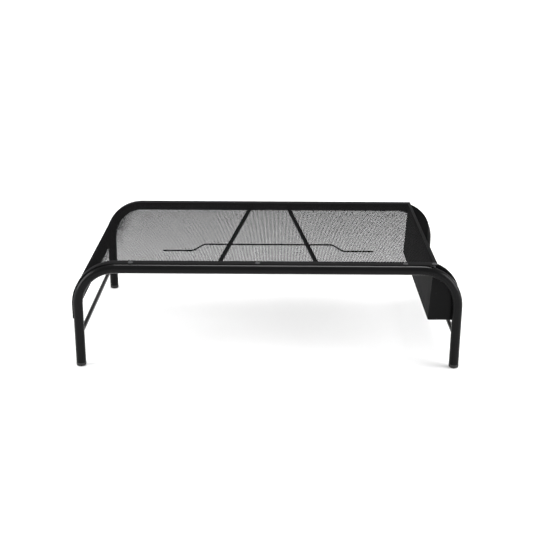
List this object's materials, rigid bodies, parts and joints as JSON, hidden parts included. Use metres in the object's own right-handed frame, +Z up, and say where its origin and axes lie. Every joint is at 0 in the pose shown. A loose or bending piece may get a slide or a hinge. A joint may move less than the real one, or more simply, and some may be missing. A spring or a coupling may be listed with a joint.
{
  "type": "monitor riser stand",
  "caption": "Low desk stand with an expanded-mesh deck on bent round tube legs, rods between the legs, and an open file pocket hung at its right end.",
  "frame": {"origin": "centre of the footprint, on the desk under the feet", "axes": "+X to the user's right, towards the file pocket; +Y away from the user; +Z up"},
  "size_m": [0.508, 0.307, 0.1449],
  "materials": {
    "frame_black": "semi-gloss black powder coat",
    "mesh_black": "satin black powder coat on expanded mesh",
    "sheet_black": "satin black powder coat",
    "screw_metal": "black screw with a worn bright edge",
    "cap_black": "moulded, matt"
  },
  "bodies": {
    "root": {"front_leg_tube": "frame_black", "rear_leg_tube": "frame_black", "left_side_rail": "frame_black", "right_side_rail": "frame_black", "left_cross_rod": "frame_black", "right_cross_rod": "frame_black", "stiffener_wire": "frame_black", "deck_mesh_panel": "mesh_black", "deck_front_margin": "sheet_black", "deck_rear_margin": "sheet_black", "deck_left_hem": "sheet_black", "deck_right_hem": "sheet_black", "pocket_inner_wall": "sheet_black", "pocket_floor": "sheet_black", "pocket_outer_wall": "sheet_black", "pocket_front_plate": "sheet_black", "pocket_rear_plate": "sheet_black", "deck_screws": "screw_metal", "pocket_screw": "screw_metal", "front_left_foot_cap": "cap_black", "front_right_foot_cap": "cap_black", "rear_left_foot_cap": "cap_black", "rear_right_foot_cap": "cap_black"}
  },
  "joints": []
}
